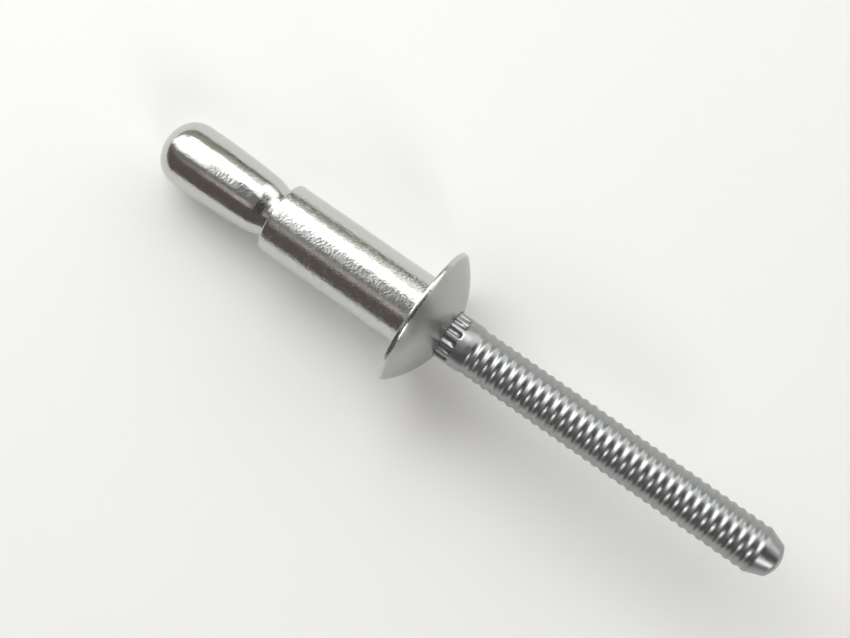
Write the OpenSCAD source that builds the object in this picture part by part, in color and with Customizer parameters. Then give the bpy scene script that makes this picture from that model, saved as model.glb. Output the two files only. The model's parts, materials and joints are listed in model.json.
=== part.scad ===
// Structural blind rivet, unset, lying on a flat surface.
// A dome-flanged tubular body is threaded on a one-piece mandrel: blind-side head,
// shank with lock groove and break notch, splined collar and grooved pulling stem.
// Each piece is drawn about its own axis: z = 0 is the flange's seating face, the blind
// side is below it and the pulling stem above. One turn then lays the rivet at rest.

/* [Tubular body] */
// Outer diameter of the tube, the rivet's nominal size
body_d = 6.4; // [5.4:0.1:9]
// Length of the tube under the flange
body_len = 14.4; // [9:0.1:30]
// Radius on the tube's blind end, outside
body_end_round = 0.25; // [0.05:0.05:0.45]
// Chamfer at the mouth of the bore on the blind end
mouth_chamfer = 0.25; // [0.2:0.05:0.3]
// Fillet between the tube and the flange's seating face
root_fillet = 0.15; // [0.05:0.05:0.5]

/* [Dome flange] */
// Diameter of the flange
flange_d = 12.4; // [9:0.1:18]
// Height of the crown's top above the seating face, as if it were not bored
crown_h = 3; // [2:0.1:5]
// Height of the rim's straight land above the seating face
rim_h = 0.2; // [0.15:0.05:1]
// Radius where the rim's land runs into the crown
rim_front_round = 0.35; // [0.05:0.05:0.5]
// Radius on the rim's edge at the seating face
rim_back_round = 0.12; // [0.02:0.01:0.14]
// Chamfer at the bore's edge on the crown
crown_chamfer = 0.1; // [0.02:0.01:0.3]

/* [Mandrel shank and stem] */
// Diameter of the shank and the splined collar
stem_d = 4.2; // [3.4:0.1:5.1]
// How much smaller the pulling stem is than the collar, on the radius
stem_step = 0.05; // [0:0.01:0.15]
// Length of the bevel between the collar and the pulling stem
step_bevel = 0.25; // [0.1:0.05:0.5]
// Running clearance around the shank, on the radius
stem_clearance = 0.05; // [0.02:0.01:0.1]
// Length of the stem above the flange's seating face
stem_len = 34.15; // [20:0.05:50]
// Length of the taper on the stem's tail, up to the top of its rounded end
tail_taper_len = 2; // [0.5:0.1:4]
// How far the tail's taper goes in over that length, on the radius
tail_taper_depth = 0.78; // [0.1:0.02:1.4]
// Radius of the tail's rounded end
tail_crown_r = 2.4; // [2:0.1:12]

/* [Mandrel head] */
// Largest diameter of the blind-side head
head_d = 5.8; // [4.9:0.1:8]
// Length of the head from the tube's blind end to the nose
head_len = 11.75; // [9.5:0.05:20]
// Radius of the nose's shoulder
nose_shoulder_r = 2.3; // [1:0.1:2.4]
// Radius of the nose's shallow crown
nose_crown_r = 3.5; // [2.6:0.1:20]
// Length over which the head first narrows, slightly
head_taper_len = 3.3; // [1:0.1:3.4]
// How much it narrows there, on the radius
head_taper_depth = 0.13; // [0.02:0.01:0.2]
// Length over which the head then narrows further, up to the cone
back_taper_len = 1.8; // [0.8:0.1:2]
// How much it narrows there, on the radius
back_taper_depth = 0.15; // [0.05:0.01:0.2]
// Length of the cone that will spread the tube
cone_len = 1.05; // [0.5:0.05:1.2]
// Length of the land between the cone and the tube's mouth
seat_len = 0.6; // [0.1:0.05:0.8]
// How much wider that land is than the shank, on the radius
seat_step = 0.22; // [0.05:0.01:0.22]

/* [Lock groove and break notch] */
// Distance of the break notch below the flange's seating face
notch_z = 4.2; // [3:0.1:8]
// Depth of the break notch, on the radius
notch_depth = 0.65; // [0.3:0.05:0.9]
// Width of the break notch at the shank's surface
notch_w = 0.9; // [0.4:0.1:1.4]
// Width of the flat at the notch's root
notch_root_w = 0.12; // [0.05:0.01:0.2]
// Distance from the break notch down to the lock groove
lock_drop = 1.5; // [1.3:0.1:3]
// Depth of the lock groove, on the radius
lock_depth = 0.28; // [0.1:0.02:0.5]
// Radius of the lock groove's hollow
lock_r = 0.7; // [0.5:0.05:1]

/* [Splined collar] */
// Height at which the splines end, above the flange's seating face
spline_top = 3.9; // [3.3:0.1:4.2]
// Length of the splines, part of it inside the bore
spline_len = 2.6; // [1:0.1:5]
// Number of splines around the collar
spline_count = 15; // [9:1:18]
// Radius of the hollow flute between two splines
flute_r = 0.28; // [0.15:0.01:0.32]
// Depth of a flute, on the radius
flute_depth = 0.2; // [0.08:0.01:0.3]

/* [Pull grooves] */
// Height of the first groove above the flange's seating face
groove_start = 5.47; // [5.1:0.01:8]
// Distance from groove to groove
groove_pitch = 0.82; // [0.6:0.01:1.2]
// Depth of a groove, on the radius
groove_depth = 0.12; // [0.05:0.01:0.28]
// Part of the pitch that the rounded ridge takes up
ridge_share = 0.5; // [0.4:0.01:0.8]

/* [Hidden] */
$fn = 128;

// Least difference that is kept between a rounding and the radius beside it
least_step = 0.2;

// Radii of the mating surfaces
body_r = body_d / 2;
stem_r = stem_d / 2;
pull_r = stem_r - stem_step;
bore_r = stem_r + stem_clearance;
flange_r = flange_d / 2;
head_r = head_d / 2;

// Crown of the flange: a ball surface that runs tangent into the rim's front edge
edge_x = flange_r - rim_front_round;
crown_rise = crown_h - rim_h;
crown_r = (edge_x * edge_x + crown_rise * crown_rise - rim_front_round * rim_front_round)
    / (2 * (crown_rise - rim_front_round));
crown_centre = [0, crown_h - crown_r];
bore_top = crown_centre[1] + sqrt(crown_r * crown_r - bore_r * bore_r);

// Nose of the head: a shallow crown that runs tangent into the shoulder
shoulder_r = min(nose_shoulder_r, head_r - least_step);
nose_r = max(nose_crown_r, shoulder_r + least_step);
shoulder_x = head_r - shoulder_r;
nose_tip = -body_len - head_len;
nose_centre = [0, nose_tip + nose_r];
shoulder_centre = [shoulder_x, nose_centre[1] - sqrt(pow(nose_r - shoulder_r, 2) - shoulder_x * shoulder_x)];

// Land, cone and two tapers of the head, from the tube's mouth towards the nose
seat_end = -body_len - stem_clearance;
seat_start = seat_end - seat_len;
cone_start = seat_start - cone_len;
back_start = cone_start - back_taper_len;
taper_start = back_start - head_taper_len;
seat_r = stem_r + seat_step;
back_r = head_r - head_taper_depth;
rear_r = back_r - back_taper_depth;

// Rounded end of the tail, which stays wider than the stem where it starts
tail_r = max(tail_crown_r, pull_r + least_step);

// Pull grooves: ridge and groove arcs that touch at the flank's steepest point
tail_start = stem_len - tail_taper_len;
groove_count = floor((tail_start - groove_start) / groove_pitch - 0.5) + 1;
flank = 2 * atan(2 * groove_depth / groove_pitch);
arc_sum = groove_pitch / 2 / sin(flank);
ridge_r = ridge_share * arc_sum;
groove_r = arc_sum - ridge_r;
flank_x = pull_r - ridge_r * (1 - cos(flank));
first_ridge = groove_start - groove_pitch / 2;
last_ridge = first_ridge + groove_count * groove_pitch;

// Lie of the rivet at rest: the line that touches the flange's rim and the nose's shoulder
rim_low = [flange_r - rim_back_round, rim_back_round];
lie_dx = rim_low[0] - shoulder_centre[0];
lie_dz = rim_low[1] - shoulder_centre[1];
rest_tilt = atan(lie_dx / lie_dz)
    - asin((shoulder_r - rim_back_round) / norm([lie_dx, lie_dz]));

over = 1;

// How much wider the break notch's cutter is at the distance over outside the shank
notch_flare = (notch_w - notch_root_w) / 2 * over / notch_depth;

steel_bright = [0.80, 0.81, 0.81];
steel_drawn = [0.66, 0.67, 0.67];

// The point at distance len from a towards b
function along(a, b, len) = a + len * (b - a) / norm(b - a);

// Turns a piece from its own axis to the way it lies at rest, stem along +X and rising
module at_rest() {
    rotate([0, 90 - rest_tilt, 0]) children();
}

// What a rounding of radius r takes from a corner; side_x and side_z (1 or -1) point
// from the arc's centre to the corner
module corner_waste(centre, r, side_x, side_z) {
    translate(centre)
        difference() {
            translate([min(side_x, 0) * 2 * r, min(side_z, 0) * 2 * r]) square(2 * r);
            circle(r);
        }
}

// A slice of a disc between two rays that leave its centre
module slice(centre, r, ray_a, ray_b) {
    intersection() {
        translate(centre) circle(r);
        polygon([centre, along(centre, ray_a, 3 * r), along(centre, ray_b, 3 * r)]);
    }
}

// Half section of the flange above the seating face
module flange_section() {
    edge_centre = [edge_x, rim_h];
    tangent = along(crown_centre, edge_centre, crown_r + over);
    square([flange_r, rim_h]);
    slice(edge_centre, rim_front_round, edge_centre + [1, 0], tangent);
    intersection() {
        translate(crown_centre) circle(crown_r);
        polygon([[0, rim_h], edge_centre, tangent, [0, crown_h + over]]);
    }
}

// Half section of the whole body, flange up
module body_section() {
    difference() {
        union() {
            translate([0, -body_len]) square([body_r, body_len]);
            flange_section();
            corner_waste([body_r + root_fillet, -root_fillet], root_fillet, -1, 1);
        }
        translate([0, -body_len - over]) square([bore_r, body_len + crown_h + 2 * over]);
        corner_waste([body_r - body_end_round, -body_len + body_end_round], body_end_round, 1, -1);
        corner_waste([flange_r - rim_back_round, rim_back_round], rim_back_round, 1, -1);
        polygon([
            [bore_r - over, -body_len - over],
            [bore_r + mouth_chamfer + over, -body_len - over],
            [bore_r - over, -body_len + mouth_chamfer + over]
        ]);
        polygon([
            [bore_r - over, bore_top - crown_chamfer - over],
            [bore_r + crown_chamfer + over, bore_top + over],
            [bore_r - over, bore_top + over]
        ]);
    }
}

module rivet_body() {
    color(steel_bright) at_rest() rotate_extrude() body_section();
}

// Half section of the head's nose
module nose_section() {
    tangent = along(nose_centre, shoulder_centre, nose_r + over);
    slice(shoulder_centre, shoulder_r, tangent, shoulder_centre + [1, 0]);
    intersection() {
        translate(nose_centre) circle(nose_r);
        polygon([[0, shoulder_centre[1]], shoulder_centre, tangent, [0, nose_tip - over]]);
    }
}

// Rounded top of one ridge, or of half of it where it runs into a plain length
module ridge_section(z, from_z, to_z) {
    intersection() {
        translate([pull_r - ridge_r, z]) circle(ridge_r);
        translate([flank_x, from_z]) square([pull_r, to_z - from_z]);
    }
}

// Hollow of one groove below the flank's steepest point
module groove_section(z) {
    intersection() {
        translate([pull_r - groove_depth + groove_r, z]) circle(groove_r);
        translate([0, z - groove_pitch]) square([flank_x, 2 * groove_pitch]);
    }
}

// Half section of the mandrel without its splines, stem up
module mandrel_section() {
    difference() {
        union() {
            nose_section();
            polygon([
                [0, shoulder_centre[1]],
                [head_r, shoulder_centre[1]],
                [head_r, taper_start],
                [back_r, back_start],
                [rear_r, cone_start],
                [seat_r, seat_start],
                [seat_r, seat_end],
                [stem_r, seat_end + seat_step],
                [stem_r, first_ridge - step_bevel],
                [pull_r, first_ridge],
                [flank_x, first_ridge],
                [flank_x, last_ridge],
                [pull_r, last_ridge],
                [pull_r, tail_start],
                [pull_r - tail_taper_depth, stem_len],
                [0, stem_len]
            ]);
            for (i = [1 : groove_count - 1]) {
                z = first_ridge + i * groove_pitch;
                ridge_section(z, z - groove_pitch / 2, z + groove_pitch / 2);
            }
            ridge_section(first_ridge, first_ridge, first_ridge + groove_pitch / 2);
            ridge_section(last_ridge, last_ridge - groove_pitch / 2, last_ridge);
        }
        for (i = [0 : groove_count - 1]) groove_section(groove_start + i * groove_pitch);
        corner_waste([0, stem_len - tail_r], tail_r, 1, 1);
        translate([stem_r - notch_depth, -notch_z])
            polygon([
                [0, -notch_root_w / 2],
                [notch_depth + over, -notch_w / 2 - notch_flare],
                [notch_depth + over, notch_w / 2 + notch_flare],
                [0, notch_root_w / 2]
            ]);
        translate([stem_r - lock_depth + lock_r, -notch_z - lock_drop]) circle(lock_r);
    }
}

// The hollow flutes that leave the splines standing
module flutes() {
    for (i = [0 : spline_count - 1])
        rotate([0, 0, i * 360 / spline_count])
            translate([stem_r - flute_depth + flute_r, 0, spline_top - spline_len])
                cylinder(r = flute_r, h = spline_len);
}

module mandrel() {
    color(steel_drawn)
        at_rest()
            difference() {
                rotate_extrude() mandrel_section();
                flutes();
            }
}

rivet_body();
mandrel();
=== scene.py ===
"""Looks of an unset structural blind rivet lying on a pale floor.

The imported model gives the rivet's place and its own axis. Each of its two metal
pieces is turned here as a fine lathe mesh about that axis and dressed in its plating,
and a small studio of one soft box, a dim room and a pale floor lights them.

Sizes along and across the rivet are in millimetres in the rivet's own frame: z runs
along the axis from the flange's seating face towards the stem's tail, and r is the
distance from the axis. Everything handed to Blender is in metres.
"""

from __future__ import annotations

import json
import logging
import math
from dataclasses import dataclass, field
from enum import Enum
from typing import Callable

import bmesh
import bpy
from mathutils import Matrix, Vector

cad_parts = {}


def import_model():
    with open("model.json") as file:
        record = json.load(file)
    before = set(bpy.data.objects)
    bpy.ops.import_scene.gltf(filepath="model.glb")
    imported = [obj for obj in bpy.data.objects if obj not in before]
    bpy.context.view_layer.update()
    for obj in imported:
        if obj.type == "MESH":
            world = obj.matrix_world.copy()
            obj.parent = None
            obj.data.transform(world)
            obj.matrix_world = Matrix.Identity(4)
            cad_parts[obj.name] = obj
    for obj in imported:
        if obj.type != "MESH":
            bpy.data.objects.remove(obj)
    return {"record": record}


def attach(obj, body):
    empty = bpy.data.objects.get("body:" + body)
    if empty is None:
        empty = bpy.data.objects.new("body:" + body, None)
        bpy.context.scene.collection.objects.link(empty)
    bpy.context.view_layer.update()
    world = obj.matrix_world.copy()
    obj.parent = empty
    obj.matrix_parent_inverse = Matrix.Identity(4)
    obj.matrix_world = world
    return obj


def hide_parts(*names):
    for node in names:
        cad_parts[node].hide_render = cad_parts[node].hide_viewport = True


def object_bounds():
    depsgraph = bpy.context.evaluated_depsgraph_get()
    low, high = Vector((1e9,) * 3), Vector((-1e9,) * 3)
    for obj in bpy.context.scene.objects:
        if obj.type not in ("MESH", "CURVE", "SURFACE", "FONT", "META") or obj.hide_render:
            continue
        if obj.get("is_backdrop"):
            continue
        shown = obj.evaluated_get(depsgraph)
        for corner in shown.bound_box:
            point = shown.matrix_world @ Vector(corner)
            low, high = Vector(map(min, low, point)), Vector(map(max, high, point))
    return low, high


LOG = logging.getLogger("rivet")
MM = 0.001
UM = 1e-6

# Width of the faint straw and blue areas of the passivation, in millimetres.
TINT_MM = 6.0
# Values of the frost's noise between which the plating goes from bright to frosted.
FROST_RANGE = (0.38, 0.68)
# How much each finer octave of a pattern counts against the one before.
NOISE_ROUGHNESS = 0.55
# Outline points nearer than this are one point, in millimetres.
SAME_POINT = 1e-5
# Vertices nearer than this are merged after the lathe, in millimetres.
MERGE_DIST = 1e-4
# Vertices at most this far under a surface still lie on it, in millimetres.
SKIN_MM = 0.01
# Width of the camera's sensor, in millimetres.
SENSOR_MM = 36.0
# Sockets of the Mix node in its colour mode, some of which share a name.
MIX_SHARE, MIX_FIRST, MIX_SECOND, MIX_RESULT = 0, 6, 7, 2


# ---------------------------------------------------------------- small helpers


def linear(colour: str) -> tuple[float, float, float, float]:
    """Turns an sRGB hex colour to the linear RGBA that the shaders take.

    Args:
        colour: The colour as "#rrggbb".

    Returns:
        Linear red, green, blue and an alpha of 1.
    """
    channels = [int(colour[i : i + 2], 16) / 255 for i in (1, 3, 5)]
    lin = [c / 12.92 if c <= 0.04045 else ((c + 0.055) / 1.055) ** 2.4 for c in channels]
    return (lin[0], lin[1], lin[2], 1.0)


def add_node(
    tree: bpy.types.NodeTree,
    kind: str,
    settings: dict[str, object] | None = None,
    links: dict[str | int, bpy.types.NodeSocket] | None = None,
    values: dict[str | int, object] | None = None,
) -> bpy.types.Node:
    """Adds one node with its settings, its socket values and the links into it.

    Args:
        tree: The node tree that gets the node.
        kind: The node's Blender type name.
        settings: Attributes of the node itself.
        links: Input socket name or index to the output socket that feeds it.
        values: Input socket name or index to its plain value.

    Returns:
        The new node.
    """
    node = tree.nodes.new(kind)
    for key, value in (settings or {}).items():
        setattr(node, key, value)
    for key, value in (values or {}).items():
        node.inputs[key].default_value = value
    for key, source in (links or {}).items():
        tree.links.new(source, node.inputs[key])
    return node


# ---------------------------------------------------------------- the rivet's axis


@dataclass(frozen=True)
class Axis:
    """Where the rivet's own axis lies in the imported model.

    Attributes:
        seat: Centre of the flange's seating face, in metres.
        along: Unit vector from that centre towards the stem's tail.
    """

    seat: Vector
    along: Vector

    @classmethod
    def from_record(cls, record: dict) -> Axis:
        """Reads the axis from the shank mount, which points towards the head.

        Args:
            record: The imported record.

        Returns:
            The axis.
        """
        shank = next(m for m in record["mounts"] if m["name"] == "shank")
        return cls(Vector(shank["pos_m"]), -Vector(shank["axis"]).normalized())

    @property
    def tilt(self) -> float:
        """How far the axis rises from the floor, in radians."""
        return math.asin(self.along.z)

    def to_model(self) -> Matrix:
        """The matrix from the rivet's own frame in millimetres to the model in metres."""
        turn = Matrix.Rotation(math.pi / 2 - self.tilt, 4, "Y")
        return Matrix.Translation(self.seat) @ turn @ Matrix.Scale(MM, 4)

    def point(self, z: float) -> Vector:
        """The point on the axis at z millimetres from the seating face, in metres."""
        return self.seat + self.along * (z * MM)


# ---------------------------------------------------------------- lathe work


@dataclass
class HalfSection:
    """A lathe outline in millimetres, drawn point by point from one end to the other."""

    points: list[tuple[float, float]] = field(default_factory=list)

    def line(self, z: float, r: float, steps: int = 1) -> HalfSection:
        """Draws a straight stretch to a point, or starts the outline there.

        Args:
            z: Height of the end.
            r: Radius of the end.
            steps: Number of parts the stretch is divided into.

        Returns:
            This outline, so that strokes can follow each other.
        """
        if not self.points:
            self.points.append((z, r))
            return self
        z0, r0 = self.points[-1]
        for i in range(1, steps + 1):
            self.points.append((z0 + (z - z0) * i / steps, r0 + (r - r0) * i / steps))
        return self

    def arc(
        self, z: float, r: float, radius: float, start: float, end: float, steps: int
    ) -> HalfSection:
        """Draws an arc about a centre; angles count from +r towards +z.

        Args:
            z: Height of the centre.
            r: Radius of the centre.
            radius: The arc's own radius.
            start: Angle at which it starts, in degrees.
            end: Angle at which it ends, in degrees.
            steps: Number of chords.

        Returns:
            This outline, so that strokes can follow each other.
        """
        for i in range(steps + 1):
            angle = math.radians(start + (end - start) * i / steps)
            point = (z + radius * math.sin(angle), r + radius * math.cos(angle))
            if not self.points or math.dist(point, self.points[-1]) > SAME_POINT:
                self.points.append(point)
        return self


def turn_on_lathe(
    name: str,
    section: HalfSection,
    segments: int,
    axis: Axis,
    closed: bool,
    carve: Callable[[Vector], Vector] | None = None,
) -> bpy.types.Object:
    """Spins an outline round the rivet's axis into a smooth closed mesh.

    Args:
        name: Name of the new object.
        section: The outline.
        segments: Number of steps round the axis.
        axis: Where the rivet's axis lies.
        closed: Whether the outline's last point joins its first, as on a tube.
        carve: Moves each point afterwards, in the rivet's own frame.

    Returns:
        The object, at the origin and unturned, with its place in its mesh.
    """
    bm = bmesh.new()
    verts = [bm.verts.new((max(r, 0.0), 0.0, z)) for z, r in section.points]
    pairs = list(zip(verts, verts[1:]))
    if closed:
        pairs.append((verts[-1], verts[0]))
    edges = [bm.edges.new(pair) for pair in pairs]
    bmesh.ops.spin(
        bm,
        geom=verts + edges,
        cent=(0, 0, 0),
        axis=(0, 0, 1),
        angle=math.tau,
        steps=segments,
        use_merge=True,
    )
    bmesh.ops.remove_doubles(bm, verts=bm.verts, dist=MERGE_DIST)
    if carve:
        for vert in bm.verts:
            vert.co = carve(vert.co)
    bmesh.ops.recalc_face_normals(bm, faces=bm.faces)
    bmesh.ops.transform(bm, matrix=axis.to_model(), verts=bm.verts)
    for face in bm.faces:
        face.smooth = True
    mesh = bpy.data.meshes.new(name)
    bm.to_mesh(mesh)
    bm.free()
    obj = bpy.data.objects.new(name, mesh)
    bpy.context.scene.collection.objects.link(obj)
    return obj


# ---------------------------------------------------------------- finishes


class Lay(Enum):
    """Which way the marks of making run on a metal surface.

    A value scales the marks' pattern on the rivet's own x, y and z. A small number draws
    the marks out long that way.
    """

    ALONG = (1.0, 1.0, 0.06)
    ROUND = (0.08, 0.08, 1.0)


@dataclass(frozen=True)
class Finish:
    """How one stretch of a plated piece looks.

    Attributes:
        cool: sRGB colour of the bluish areas.
        warm: sRGB colour of the straw areas.
        roughness: Roughness of the brightest and of the frosted areas.
        grain_um: Height of the plating's grain, in micrometres.
    """

    cool: str
    warm: str
    roughness: tuple[float, float]
    grain_um: float


@dataclass(frozen=True)
class ZincPlate:
    """Bright zinc electroplate on cold-formed steel, cleared with a thin passivation.

    Barrel plating leaves a mirror with a fine crystalline grain, so straight reflections
    keep their place and break up into specks at their borders. The passivation tints it
    faintly from blue to straw yellow. One piece can be bright over one stretch of its
    axis and dull over the rest, as forming polishes it unevenly; on the body, the dull
    stretch's darker colour is also painted shade.

    Attributes:
        name: Name of the material.
        low: Finish of the stretch on the head's side.
        high: Finish of the stretch on the tail's side.
        change_mm: Heights between which the first finish passes into the second.
        frost_mm: Size of the frosted areas.
        grain_mm: Size of one grain of the plating, drawn several times coarser than the
            real crystals, which are too fine to show.
        dent_mm: Size of the shallow waves left by tumbling in the barrel.
        dent_um: Height of those waves, in micrometres.
        lay: The way the drawing or turning marks run.
        mark_mm: Distance between those marks, also drawn coarser than the real ones.
        mark_um: Depth of those marks, in micrometres.
    """

    name: str
    low: Finish
    high: Finish
    change_mm: tuple[float, float]
    frost_mm: float
    grain_mm: float
    dent_mm: float
    dent_um: float
    lay: Lay
    mark_mm: float
    mark_um: float

    def material(self, axis: Axis) -> bpy.types.Material:
        """Builds the node material, with its patterns in the rivet's own frame.

        Args:
            axis: Where the rivet's axis lies, which turns and shifts the patterns.

        Returns:
            The material.
        """
        material = bpy.data.materials.new(self.name)
        material.use_nodes = True
        tree = material.node_tree
        tree.nodes.clear()
        coords = add_node(tree, "ShaderNodeTexCoord").outputs["Object"]
        to_rivet = axis.to_model().inverted()
        place = add_node(
            tree,
            "ShaderNodeMapping",
            links={"Vector": coords},
            values={
                "Scale": to_rivet.to_scale(),
                "Rotation": to_rivet.to_euler(),
                "Location": to_rivet.to_translation(),
            },
        ).outputs["Vector"]
        height = add_node(tree, "ShaderNodeSeparateXYZ", links={"Vector": place}).outputs["Z"]
        share = self._map(tree, height, self.change_mm, (0.0, 1.0))
        tint = self._noise(tree, place, TINT_MM, detail=3.0)
        frost = self._noise(tree, place, self.frost_mm, detail=4.0)
        colour = self._blend(
            tree,
            share,
            self._blend(tree, tint, linear(self.low.cool), linear(self.low.warm)),
            self._blend(tree, tint, linear(self.high.cool), linear(self.high.warm)),
        )
        bright, dull = (
            self._map(tree, share, (0.0, 1.0), (low, high))
            for low, high in zip(self.low.roughness, self.high.roughness)
        )
        rough = self._map(tree, frost, FROST_RANGE, (bright, dull))
        surface = add_node(
            tree,
            "ShaderNodeBsdfPrincipled",
            links={
                "Base Color": colour,
                "Roughness": rough,
                "Normal": self._relief(tree, place, share),
            },
            values={"Metallic": 1.0},
        )
        add_node(
            tree,
            "ShaderNodeOutputMaterial",
            links={"Surface": surface.outputs["BSDF"]},
        )
        return material

    def _noise(
        self, tree: bpy.types.NodeTree, vector: bpy.types.NodeSocket, size_mm: float, detail: float
    ) -> bpy.types.NodeSocket:
        """Adds noise whose blobs are about size_mm wide.

        Args:
            tree: The material's tree.
            vector: Coordinates in millimetres.
            size_mm: Width of a blob.
            detail: Octaves of finer noise.

        Returns:
            The noise's value, from 0 to 1.
        """
        return add_node(
            tree,
            "ShaderNodeTexNoise",
            links={"Vector": vector},
            values={"Scale": 1 / size_mm, "Detail": detail, "Roughness": NOISE_ROUGHNESS},
        ).outputs["Fac"]

    def _map(
        self,
        tree: bpy.types.NodeTree,
        value: bpy.types.NodeSocket,
        source: tuple[float, float],
        target: tuple[float | bpy.types.NodeSocket, float | bpy.types.NodeSocket],
    ) -> bpy.types.NodeSocket:
        """Adds a clamped linear map from one range to another.

        Args:
            tree: The material's tree.
            value: The value to map.
            source: The range it comes from.
            target: The range it goes to, as numbers or as sockets that carry them.

        Returns:
            The mapped value.
        """
        ends = dict(zip(("To Min", "To Max"), target))
        plain = {key: end for key, end in ends.items() if isinstance(end, float)}
        fed = {key: end for key, end in ends.items() if key not in plain}
        return add_node(
            tree,
            "ShaderNodeMapRange",
            links={"Value": value, **fed},
            values={"From Min": source[0], "From Max": source[1], **plain},
        ).outputs["Result"]

    def _blend(
        self,
        tree: bpy.types.NodeTree,
        share: bpy.types.NodeSocket,
        first: tuple[float, float, float, float] | bpy.types.NodeSocket,
        second: tuple[float, float, float, float] | bpy.types.NodeSocket,
    ) -> bpy.types.NodeSocket:
        """Adds a mix of two colours.

        Args:
            tree: The material's tree.
            share: Share of the second colour, from 0 to 1.
            first: The first colour, as linear RGBA or as a socket.
            second: The second colour, as linear RGBA or as a socket.

        Returns:
            The mixed colour.
        """
        ends = {MIX_FIRST: first, MIX_SECOND: second}
        plain = {key: end for key, end in ends.items() if isinstance(end, tuple)}
        fed = {key: end for key, end in ends.items() if key not in plain}
        return add_node(
            tree,
            "ShaderNodeMix",
            settings={"data_type": "RGBA"},
            links={MIX_SHARE: share, **fed},
            values=plain,
        ).outputs[MIX_RESULT]

    def _relief(
        self,
        tree: bpy.types.NodeTree,
        place: bpy.types.NodeSocket,
        share: bpy.types.NodeSocket,
    ) -> bpy.types.NodeSocket:
        """Stacks the waves, the marks of making and the plating's grain as bumps.

        Args:
            tree: The material's tree.
            place: Coordinates in the rivet's own frame, in millimetres.
            share: Share of the second finish.

        Returns:
            The bumped normal.
        """
        waves = add_node(
            tree,
            "ShaderNodeBump",
            links={"Height": self._noise(tree, place, self.dent_mm, detail=1.0)},
            values={"Distance": self.dent_um * UM, "Strength": 1.0},
        ).outputs["Normal"]
        drawn = add_node(
            tree,
            "ShaderNodeMapping",
            links={"Vector": place},
            values={"Scale": self.lay.value},
        ).outputs["Vector"]
        marks = add_node(
            tree,
            "ShaderNodeBump",
            links={
                "Height": self._noise(tree, drawn, self.mark_mm, detail=2.0),
                "Normal": waves,
            },
            values={"Distance": self.mark_um * UM, "Strength": 1.0},
        ).outputs["Normal"]
        depth = self._map(
            tree, share, (0.0, 1.0), (self.low.grain_um * UM, self.high.grain_um * UM)
        )
        return add_node(
            tree,
            "ShaderNodeBump",
            links={
                "Height": self._noise(tree, place, self.grain_mm, detail=3.0),
                "Distance": depth,
                "Normal": marks,
            },
            values={"Strength": 1.0},
        ).outputs["Normal"]


# The tube and the flange's rim are rubbed bright in the barrel; the dome stays satin. The dome's
# darker colours are painted shade, standing for the dim floor that the dome reflects.
BODY_PLATE = ZincPlate(
    name="zinc_plate_on_formed_body",
    low=Finish(cool="#c6cccd", warm="#cac9c2", roughness=(0.08, 0.30), grain_um=21.0),
    # The dome: satin roughness, with colours darkened as painted shade.
    high=Finish(cool="#b0b4b3", warm="#b2b1ac", roughness=(0.30, 0.38), grain_um=4.0),
    change_mm=(0.32, 0.55),
    frost_mm=0.5,
    grain_mm=0.2,
    dent_mm=0.9,
    dent_um=6.0,
    lay=Lay.ALONG,
    mark_mm=0.12,
    mark_um=1.2,
)

# The head is as bright as the tube; the rolled stem comes out duller. They change over
# inside the bore, where nothing shows.
MANDREL_PLATE = ZincPlate(
    name="zinc_plate_on_rolled_mandrel",
    low=Finish(cool="#c4c9ca", warm="#c9c7bf", roughness=(0.08, 0.22), grain_um=16.0),
    high=Finish(cool="#9fa3a4", warm="#a3a3a1", roughness=(0.30, 0.40), grain_um=7.0),
    change_mm=(-2.0, 1.0),
    frost_mm=0.5,
    grain_mm=0.2,
    dent_mm=1.0,
    dent_um=5.0,
    lay=Lay.ROUND,
    mark_mm=0.12,
    mark_um=0.5,
)


# ---------------------------------------------------------------- the two pieces


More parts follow.
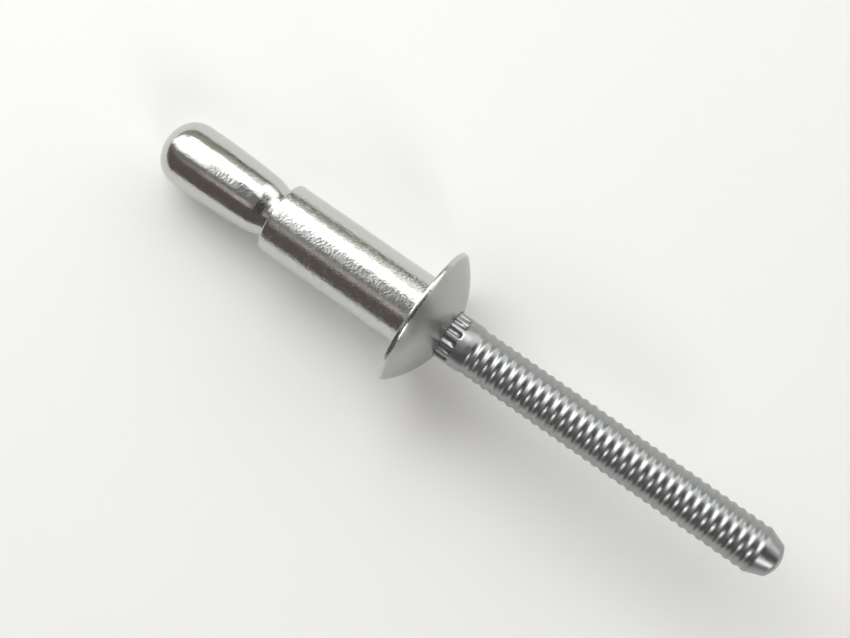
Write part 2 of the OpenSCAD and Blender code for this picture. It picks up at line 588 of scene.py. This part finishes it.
@dataclass(frozen=True)
class TubularBody:
    """The cold-formed tube with its dome flange. Sizes are in millimetres."""

    # The tube and its bore.
    tube_r: float = 3.2
    length: float = 14.4
    bore_r: float = 2.15
    end_round: float = 0.25
    mouth_chamfer: float = 0.25
    # The flange, from its root at the tube over the rim to the bore's mouth in the dome.
    root_fillet: float = 0.15
    flange_r: float = 6.2
    rim_back_round: float = 0.12
    rim_h: float = 0.2
    rim_front_round: float = 0.35
    crown_h: float = 3.0
    crown_chamfer: float = 0.1
    # Steps round the axis.
    segments: int = 240

    def section(self) -> HalfSection:
        """Draws the wall's outline, up the outside and down the bore.

        Returns:
            The closed outline.
        """
        end = -self.length
        edge_r = self.flange_r - self.rim_front_round
        rise = self.crown_h - self.rim_h
        # The dome is part of a ball that runs smoothly into the rim's front rounding.
        ball = (edge_r**2 + rise**2 - self.rim_front_round**2) / (
            2 * (rise - self.rim_front_round)
        )
        ball_z = self.crown_h - ball
        edge_angle = math.degrees(math.atan2(self.rim_h - ball_z, edge_r))
        lip_r = self.bore_r + self.crown_chamfer
        lip_angle = math.degrees(math.acos(lip_r / ball))
        lip_z = ball_z + math.sqrt(ball**2 - lip_r**2)
        outline = HalfSection()
        outline.line(end, self.bore_r + self.mouth_chamfer)
        outline.line(end, self.tube_r - self.end_round, 2)
        outline.arc(end + self.end_round, self.tube_r - self.end_round, self.end_round, -90, 0, 8)
        outline.line(-self.root_fillet, self.tube_r, 30)
        outline.arc(-self.root_fillet, self.tube_r + self.root_fillet, self.root_fillet, 180, 90, 5)
        outline.line(0, self.flange_r - self.rim_back_round, 8)
        outline.arc(
            self.rim_back_round, self.flange_r - self.rim_back_round, self.rim_back_round, -90, 0, 5
        )
        outline.arc(self.rim_h, edge_r, self.rim_front_round, 0, edge_angle, 6)
        outline.arc(ball_z, 0, ball, edge_angle, lip_angle, 32)
        outline.line(lip_z - self.crown_chamfer, self.bore_r, 2)
        outline.line(end + self.mouth_chamfer, self.bore_r, 10)
        return outline

    def build(self, axis: Axis) -> bpy.types.Object:
        """Turns the body and dresses it.

        Args:
            axis: Where the rivet's axis lies.

        Returns:
            The finished object.
        """
        obj = turn_on_lathe("rivet_body_turned", self.section(), self.segments, axis, closed=True)
        obj.data.materials.append(BODY_PLATE.material(axis))
        return obj


@dataclass(frozen=True)
class Mandrel:
    """The headed and rolled mandrel. Sizes are in millimetres."""

    # Length of the tube that it runs through.
    body_len: float
    # The shank, and how far the stem reaches past the flange's seating face.
    stem_r: float = 2.1
    stem_len: float = 34.15
    # The head on the blind side, from the nose to the seat in the tube's mouth.
    head_r: float = 2.9
    head_len: float = 11.75
    nose_crown_r: float = 3.5
    nose_shoulder_r: float = 2.3
    head_taper_len: float = 3.3
    head_taper_depth: float = 0.13
    back_taper_len: float = 1.8
    back_taper_depth: float = 0.15
    cone_len: float = 1.05
    seat_len: float = 0.6
    seat_step: float = 0.22
    seat_gap: float = 0.05
    # The break notch and, further down the bore, the lock groove.
    notch_z: float = 4.2
    notch_depth: float = 0.65
    notch_w: float = 0.9
    lock_drop: float = 1.5
    lock_depth: float = 0.28
    lock_r: float = 0.7
    # The collar with its pressed flutes. They drop in over flute_start at their lower end
    # and run out over flute_runout at their upper end.
    spline_top: float = 3.9
    spline_len: float = 2.6
    spline_count: int = 15
    flute_r: float = 0.28
    flute_depth: float = 0.2
    flute_start: float = 0.1
    flute_runout: float = 0.09
    # The pulling stem with its rolled grooves.
    stem_step: float = 0.05
    step_bevel: float = 0.25
    groove_start: float = 5.47
    groove_pitch: float = 0.82
    groove_depth: float = 0.12
    ridge_share: float = 0.5
    # The tail.
    tail_taper_len: float = 2.0
    tail_taper_depth: float = 0.78
    tail_crown_r: float = 2.4
    # Steps round the axis.
    segments: int = 180

    def section(self) -> HalfSection:
        """Draws the outline from the nose's tip to the middle of the tail's rounded end.

        Returns:
            The outline, which starts and ends on the axis.
        """
        outline = HalfSection()
        self._draw_head(outline)
        self._draw_shank(outline)
        self._draw_collar(outline)
        self._draw_grooves(outline)
        self._draw_tail(outline)
        return outline

    def _draw_head(self, outline: HalfSection) -> None:
        """Draws the nose, the head's tapers, the spreading cone and the seat in the mouth.

        Args:
            outline: The outline so far, which this goes on with.
        """
        tip = -self.body_len - self.head_len
        crown_z = tip + self.nose_crown_r
        # The nose's blunt crown runs smoothly into its rounded shoulder.
        reach = self.nose_crown_r - self.nose_shoulder_r
        shoulder = self.head_r - self.nose_shoulder_r
        shoulder_z = crown_z - math.sqrt(reach**2 - shoulder**2)
        meet = math.degrees(math.atan2(shoulder_z - crown_z, shoulder))
        seat_end = -self.body_len - self.seat_gap
        cone_end = seat_end - self.seat_len
        cone_start = cone_end - self.cone_len
        back_start = cone_start - self.back_taper_len
        back_r = self.head_r - self.head_taper_depth
        outline.arc(crown_z, 0, self.nose_crown_r, -90, meet, 8)
        outline.arc(shoulder_z, shoulder, self.nose_shoulder_r, meet, 0, 16)
        outline.line(back_start - self.head_taper_len, self.head_r, 6)
        outline.line(back_start, back_r, 6)
        outline.line(cone_start, back_r - self.back_taper_depth, 4)
        outline.line(cone_end, self.stem_r + self.seat_step, 4)
        outline.line(seat_end, self.stem_r + self.seat_step, 3)
        outline.line(seat_end + self.seat_step, self.stem_r, 2)

    def _draw_shank(self, outline: HalfSection) -> None:
        """Draws the shank in the bore, with the lock groove and the break notch.

        Args:
            outline: The outline so far, which this goes on with.
        """
        lock_z = -self.notch_z - self.lock_drop
        lock_centre = self.stem_r - self.lock_depth + self.lock_r
        half = math.degrees(math.acos((lock_centre - self.stem_r) / self.lock_r))
        outline.line(lock_z - self.lock_r * math.sin(math.radians(half)), self.stem_r, 4)
        outline.arc(lock_z, lock_centre, self.lock_r, 180 + half, 180 - half, 8)
        outline.line(-self.notch_z - self.notch_w / 2, self.stem_r)
        outline.line(-self.notch_z, self.stem_r - self.notch_depth)
        outline.line(-self.notch_z + self.notch_w / 2, self.stem_r)

    def _draw_collar(self, outline: HalfSection) -> None:
        """Draws the stretch that carries the splines, ring by ring, and the plain collar.

        Args:
            outline: The outline so far, which this goes on with.
        """
        bottom = self.spline_top - self.spline_len
        outline.line(bottom - self.flute_start / 2, self.stem_r)
        outline.line(bottom + self.flute_start / 2, self.stem_r)
        outline.line(self.spline_top - self.flute_runout, self.stem_r, 4)
        outline.line(self.spline_top, self.stem_r, 3)
        first_ridge = self.groove_start - self.groove_pitch / 2
        outline.line(first_ridge - self.step_bevel, self.stem_r, 4)
        outline.line(first_ridge, self.pull_r)

    def _draw_grooves(self, outline: HalfSection) -> None:
        """Draws the pull grooves as ridge and groove arcs that run into each other.

        Args:
            outline: The outline so far, which this goes on with.
        """
        half = self.groove_pitch / 2
        # Over half a pitch, the two arcs of a flank fall by the groove's depth.
        flank = 2 * math.degrees(math.atan(self.groove_depth / half))
        arcs = half / math.sin(math.radians(flank))
        ridge = self.ridge_share * arcs
        groove = arcs - ridge
        ridge_centre = self.pull_r - ridge
        groove_centre = self.pull_r - self.groove_depth + groove
        for i in range(self.groove_count):
            z = self.groove_start + i * self.groove_pitch
            outline.arc(z - half, ridge_centre, ridge, 0, flank, 4)
            outline.arc(z, groove_centre, groove, 180 + flank, 180 - flank, 4)
            outline.arc(z + half, ridge_centre, ridge, -flank, 0, 4)

    def _draw_tail(self, outline: HalfSection) -> None:
        """Draws the land after the last groove, the taper and the rounded end.

        Args:
            outline: The outline so far, which this goes on with.
        """
        start = self.stem_len - self.tail_taper_len
        crown_z = self.stem_len - self.tail_crown_r
        fall = self.tail_taper_depth / self.tail_taper_len
        # The taper meets the crown where (start + run, pull_r - fall * run) lies on it.
        a = 1 + fall**2
        b = start - crown_z - fall * self.pull_r
        c = (start - crown_z) ** 2 + self.pull_r**2 - self.tail_crown_r**2
        run = (math.sqrt(b**2 - a * c) - b) / a
        edge_r = self.pull_r - fall * run
        outline.line(start, self.pull_r, 2)
        outline.line(start + run, edge_r, 6)
        edge_angle = math.degrees(math.atan2(start + run - crown_z, edge_r))
        outline.arc(crown_z, 0, self.tail_crown_r, edge_angle, 90, 12)

    @property
    def pull_r(self) -> float:
        """Radius of the pulling stem across its ridges."""
        return self.stem_r - self.stem_step

    @property
    def groove_count(self) -> int:
        """Number of grooves that fit before the tail's taper."""
        room = self.stem_len - self.tail_taper_len - self.groove_start
        return math.floor(room / self.groove_pitch - 0.5) + 1

    def carve_flutes(self, point: Vector) -> Vector:
        """Presses the flutes between the splines into the collar.

        Args:
            point: A point of the plain lathe mesh, in the rivet's own frame.

        Returns:
            The point, moved towards the axis where it lies in a flute.
        """
        bottom = self.spline_top - self.spline_len
        on_collar = bottom < point.z < self.spline_top
        if not on_collar or point.xy.length < self.stem_r - SKIN_MM:
            return point
        pitch = math.tau / self.spline_count
        off = (math.atan2(point.y, point.x) + pitch / 2) % pitch - pitch / 2
        across = self.stem_r * math.sin(off)
        if abs(across) >= self.flute_r:
            return point
        wall = self.stem_r - self.flute_depth + self.flute_r
        floor = wall - math.sqrt(self.flute_r**2 - across**2)
        runout = min(1.0, (self.spline_top - point.z) / self.flute_runout)
        depth = max(0.0, self.stem_r - floor) * runout
        scale = (self.stem_r - depth) / self.stem_r
        return Vector((point.x * scale, point.y * scale, point.z))

    def build(self, axis: Axis) -> bpy.types.Object:
        """Turns the mandrel, presses its splines and dresses it.

        Args:
            axis: Where the rivet's axis lies.

        Returns:
            The finished object.
        """
        obj = turn_on_lathe(
            "mandrel_turned",
            self.section(),
            self.segments,
            axis,
            closed=False,
            carve=self.carve_flutes,
        )
        obj.data.materials.append(MANDREL_PLATE.material(axis))
        return obj


# ---------------------------------------------------------------- the studio


@dataclass(frozen=True)
class RoomPatch:
    """One soft-edged part of the room, by the directions in which the rivet sees it.

    Attributes:
        what: What it is.
        across: Its two edges, in degrees from straight up across the rivet, +Y positive.
        along: Its two edges, in degrees out of the cross plane, +X positive.
        soft: Width of its soft edges across and along, in degrees.
        colour: Its sRGB colour.
        glow: Its brightness, where 1 is a white surface in full light.
        lean: How many degrees its edges across shift for each degree along.
    """

    what: str
    across: tuple[float, float]
    along: tuple[float, float]
    soft: tuple[float, float]
    colour: str
    glow: float
    lean: float = 0.0


ROOM = (
    RoomPatch("sheer curtain", (44, 120), (-80, 75), (14, 16), "#fbfbf9", 1.0),
    RoomPatch("lit fold of the curtain", (36, 78), (-11, 44), (12, 5), "#fbfbf9", 1.9),
    RoomPatch("wall beside the curtain", (83, 180), (-85, 95), (14, 10), "#a8a899", 1.0, lean=1.1),
    RoomPatch("dark skirting", (82, 96), (-70, 60), (8, 20), "#5a5a50", 1.0),
    RoomPatch("window", (-9, 40), (-66, -24), (6, 5), "#ffffff", 2.0),
    RoomPatch("window at the far end", (4, 60), (-95, -45), (12, 8), "#ffffff", 2.3),
    RoomPatch("window beside it", (12, 37), (-30, 6), (7, 8), "#ffffff", 1.8, lean=-0.6),
    RoomPatch("wall on the dark side", (-130, -38), (-95, 95), (6, 10), "#6a605d", 1.0),
    RoomPatch("far end of the dark side", (-130, -34), (-8, 95), (8, 14), "#636061", 1.0),
    RoomPatch("picture rail", (-35, -25), (-24, -8), (4, 5), "#e6d9d6", 1.0),
    RoomPatch("camera and its holder", (-40, 38), (3, 60), (14, 7), "#444243", 1.0),
    RoomPatch("door lamp", (-28, -9), (30, 62), (8, 10), "#ffffff", 5.4, lean=-0.5),
)


@dataclass(frozen=True)
class Studio:
    """A pale floor, one soft box, the room and the camera above.

    Attributes:
        floor: sRGB colour of the floor.
        floor_m: Side of the floor, wide enough to reach the horizon of a low view.
        ceiling: sRGB colour of what no patch of the room covers.
        box_power: Power of the soft box in watts.
        box_size: Its size across and along the rivet, in metres.
        box_across: Its direction from straight up across the rivet, in degrees.
        box_along: Its direction from straight up along the rivet, in degrees.
        box_distance: Its distance from the rivet, in metres.
        lens_mm: Focal length of the camera.
        clip_start: Nearest distance that the camera shows, in metres.
        camera_height: Height of the camera over the rivet's axis, in metres.
        camera_z: Point of the rivet's axis under the camera, in millimetres.
        camera_side: How far the camera stands aside of the axis, in metres.
        camera_turn: Turn of the picture against the rivet's axis, in degrees.
    """

    floor: str = "#f8f8f6"
    floor_m: float = 60.0
    ceiling: str = "#868482"
    box_power: float = 0.15
    box_size: tuple[float, float] = (0.084, 0.17)
    box_across: float = 31.0
    box_along: float = -41.0
    box_distance: float = 0.2
    lens_mm: float = 50.0
    clip_start: float = 0.005
    camera_height: float = 0.0962
    camera_z: float = 0.44
    camera_side: float = -0.00008
    camera_turn: float = 34.89

    def lay_floor(self, low: float) -> None:
        """Lays the floor under the rivet.

        Args:
            low: Height of the rivet's lowest point, in metres.
        """
        bm = bmesh.new()
        bmesh.ops.create_grid(bm, x_segments=1, y_segments=1, size=self.floor_m / 2)
        bmesh.ops.translate(bm, vec=(0, 0, low), verts=bm.verts)
        mesh = bpy.data.meshes.new("pale_floor")
        bm.to_mesh(mesh)
        bm.free()
        floor = bpy.data.objects.new("pale_floor", mesh)
        bpy.context.scene.collection.objects.link(floor)
        material = bpy.data.materials.new("matt_pale_floor")
        material.use_nodes = True
        tree = material.node_tree
        tree.nodes.clear()
        surface = add_node(
            tree,
            "ShaderNodeBsdfPrincipled",
            values={
                "Base Color": linear(self.floor),
                "Roughness": 0.9,
                "Specular IOR Level": 0.2,
            },
        )
        add_node(tree, "ShaderNodeOutputMaterial", links={"Surface": surface.outputs["BSDF"]})
        floor.data.materials.append(material)
        floor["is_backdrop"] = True

    def hang_soft_box(self) -> None:
        """Hangs the soft box over the +Y side, facing the rivet."""
        light = bpy.data.lights.new("soft_box", "AREA")
        light.shape = "RECTANGLE"
        light.size, light.size_y = self.box_size[1], self.box_size[0]
        light.energy = self.box_power
        lamp = bpy.data.objects.new("soft_box", light)
        across, along = math.radians(self.box_across), math.radians(self.box_along)
        way = Vector((math.tan(along), math.tan(across), 1.0)).normalized()
        lamp.location = way * self.box_distance
        lamp.rotation_euler = way.to_track_quat("Z", "Y").to_euler()
        bpy.context.scene.collection.objects.link(lamp)

    def paint_room(self) -> None:
        """Paints the room round the floor as patches of plain colour with soft edges."""
        world = bpy.data.worlds.new("room")
        world.use_nodes = True
        tree = world.node_tree
        tree.nodes.clear()
        coords = add_node(tree, "ShaderNodeTexCoord")
        parts = add_node(
            tree, "ShaderNodeSeparateXYZ", links={"Vector": coords.outputs["Generated"]}
        )
        across = self._degrees(tree, "ARCTAN2", parts.outputs["Y"], parts.outputs["Z"])
        along = self._degrees(tree, "ARCSINE", parts.outputs["X"])
        shade = add_node(tree, "ShaderNodeRGB").outputs["Color"]
        shade.default_value = linear(self.ceiling)
        for patch in ROOM:
            leant = add_node(
                tree,
                "ShaderNodeMath",
                settings={"operation": "MULTIPLY_ADD"},
                links={0: along, 2: across},
                values={1: -patch.lean},
            ).outputs["Value"]
            inside = add_node(
                tree,
                "ShaderNodeMath",
                settings={"operation": "MULTIPLY"},
                links={
                    0: self._between(tree, leant, patch.across, patch.soft[0]),
                    1: self._between(tree, along, patch.along, patch.soft[1]),
                },
            ).outputs["Value"]
            colour = Vector(linear(patch.colour)) * patch.glow
            shade = add_node(
                tree,
                "ShaderNodeMix",
                settings={"data_type": "RGBA", "label": patch.what},
                links={MIX_SHARE: inside, MIX_FIRST: shade},
                values={MIX_SECOND: colour},
            ).outputs[MIX_RESULT]
        glow = add_node(
            tree, "ShaderNodeBackground", links={"Color": shade}, values={"Strength": 1.0}
        )
        add_node(tree, "ShaderNodeOutputWorld", links={"Surface": glow.outputs["Background"]})
        bpy.context.scene.world = world

    def _degrees(
        self, tree: bpy.types.NodeTree, operation: str, *sources: bpy.types.NodeSocket
    ) -> bpy.types.NodeSocket:
        """Adds an angle function of the sources and turns it to degrees.

        Args:
            tree: The world's tree.
            operation: The Math node's operation.
            sources: The sockets that feed it, in order.

        Returns:
            The angle in degrees.
        """
        angle = add_node(
            tree,
            "ShaderNodeMath",
            settings={"operation": operation},
            links=dict(enumerate(sources)),
        )
        return add_node(
            tree,
            "ShaderNodeMath",
            settings={"operation": "DEGREES"},
            links={0: angle.outputs["Value"]},
        ).outputs["Value"]

    def _between(
        self,
        tree: bpy.types.NodeTree,
        value: bpy.types.NodeSocket,
        edges: tuple[float, float],
        soft: float,
    ) -> bpy.types.NodeSocket:
        """Adds a mask that is 1 between two edges and falls off softly over each.

        Args:
            tree: The world's tree.
            value: The angle in degrees.
            edges: The two angles where the mask is one half.
            soft: Width of each fall.

        Returns:
            The mask.
        """
        rise, fall = (
            add_node(
                tree,
                "ShaderNodeMapRange",
                settings={"interpolation_type": "SMOOTHSTEP"},
                links={"Value": value},
                values={"From Min": edge - soft / 2, "From Max": edge + soft / 2},
            ).outputs["Result"]
            for edge in edges
        )
        return add_node(
            tree,
            "ShaderNodeMath",
            settings={"operation": "SUBTRACT"},
            links={0: rise, 1: fall},
        ).outputs["Value"]

    def set_camera(self, axis: Axis) -> None:
        """Sets the camera straight above the rivet, looking down.

        Args:
            axis: Where the rivet's axis lies.
        """
        data = bpy.data.cameras.new("camera")
        data.lens = self.lens_mm
        data.sensor_width = SENSOR_MM
        data.clip_start = self.clip_start
        camera = bpy.data.objects.new("camera", data)
        under = axis.point(self.camera_z)
        camera.location = (under.x, under.y + self.camera_side, under.z + self.camera_height)
        camera.rotation_euler = (0.0, 0.0, math.radians(self.camera_turn))
        bpy.context.scene.collection.objects.link(camera)
        bpy.context.scene.camera = camera


# ---------------------------------------------------------------- putting it together


def main() -> None:
    """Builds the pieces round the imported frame, then the studio."""
    logging.basicConfig(level=logging.INFO, format="%(name)s: %(message)s")
    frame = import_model()
    cad_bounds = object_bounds()
    axis = Axis.from_record(frame["record"])
    studio = Studio()
    studio.set_camera(axis)
    body = TubularBody()
    mandrel = Mandrel(body_len=body.length)
    for node, maker in (("rivet_body", body), ("mandrel", mandrel)):
        piece = maker.build(axis)
        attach(piece, "root")
        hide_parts(node)
        LOG.info("%s: %d faces", piece.name, len(piece.data.polygons))
    studio.lay_floor(cad_bounds[0][2])
    studio.hang_soft_box()
    studio.paint_room()
    scene = bpy.context.scene
    scene.view_settings.view_transform = "Standard"


if __name__ == "__main__":
    main()
